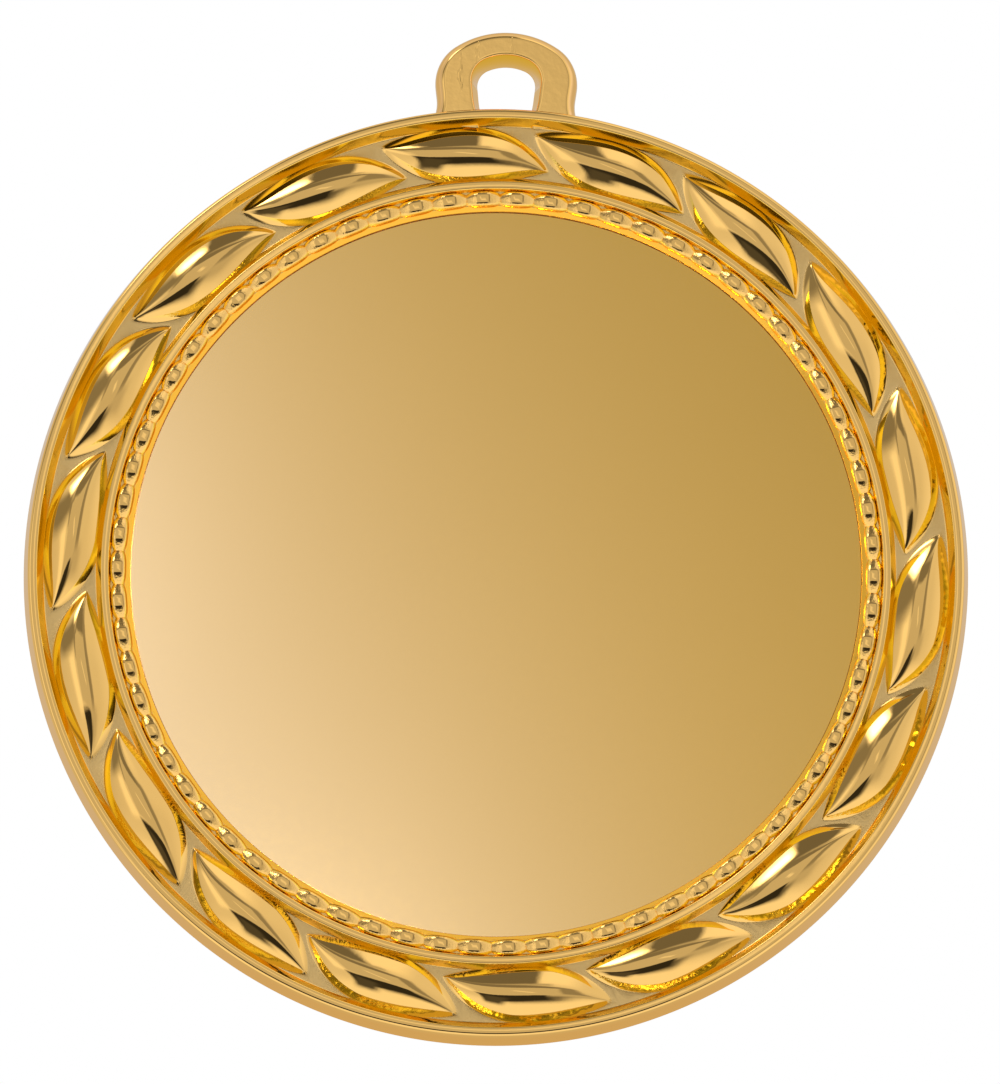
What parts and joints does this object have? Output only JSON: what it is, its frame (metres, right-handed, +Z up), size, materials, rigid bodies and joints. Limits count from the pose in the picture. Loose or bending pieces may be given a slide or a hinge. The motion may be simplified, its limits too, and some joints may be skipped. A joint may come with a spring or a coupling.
{
  "type": "medal",
  "caption": "Round award medal with a laurel wreath border, a beaded ring, a flat mirror centre for an emblem and a ribbon loop on top.",
  "frame": {"origin": "middle of the back, on the medal's axis, on the floor of the shallow recess in the back", "axes": "+Z up through the ribbon loop, -Y out of the medal's face, +X to the right as the face is seen"},
  "size_m": [0.065, 0.004, 0.0704],
  "materials": {
    "gold_plating": "bright gold plating over die cast zinc alloy, satin in the wreath's channel",
    "mirror_gold": "gold anodised, polished",
    "adhesive": "clear acrylic adhesive film"
  },
  "bodies": {
    "root": {"wreath_ring": "gold_plating", "back_plate": "gold_plating", "ribbon_loop": "gold_plating", "centre_disc": "mirror_gold", "adhesive_pad": "adhesive"}
  },
  "joints": []
}
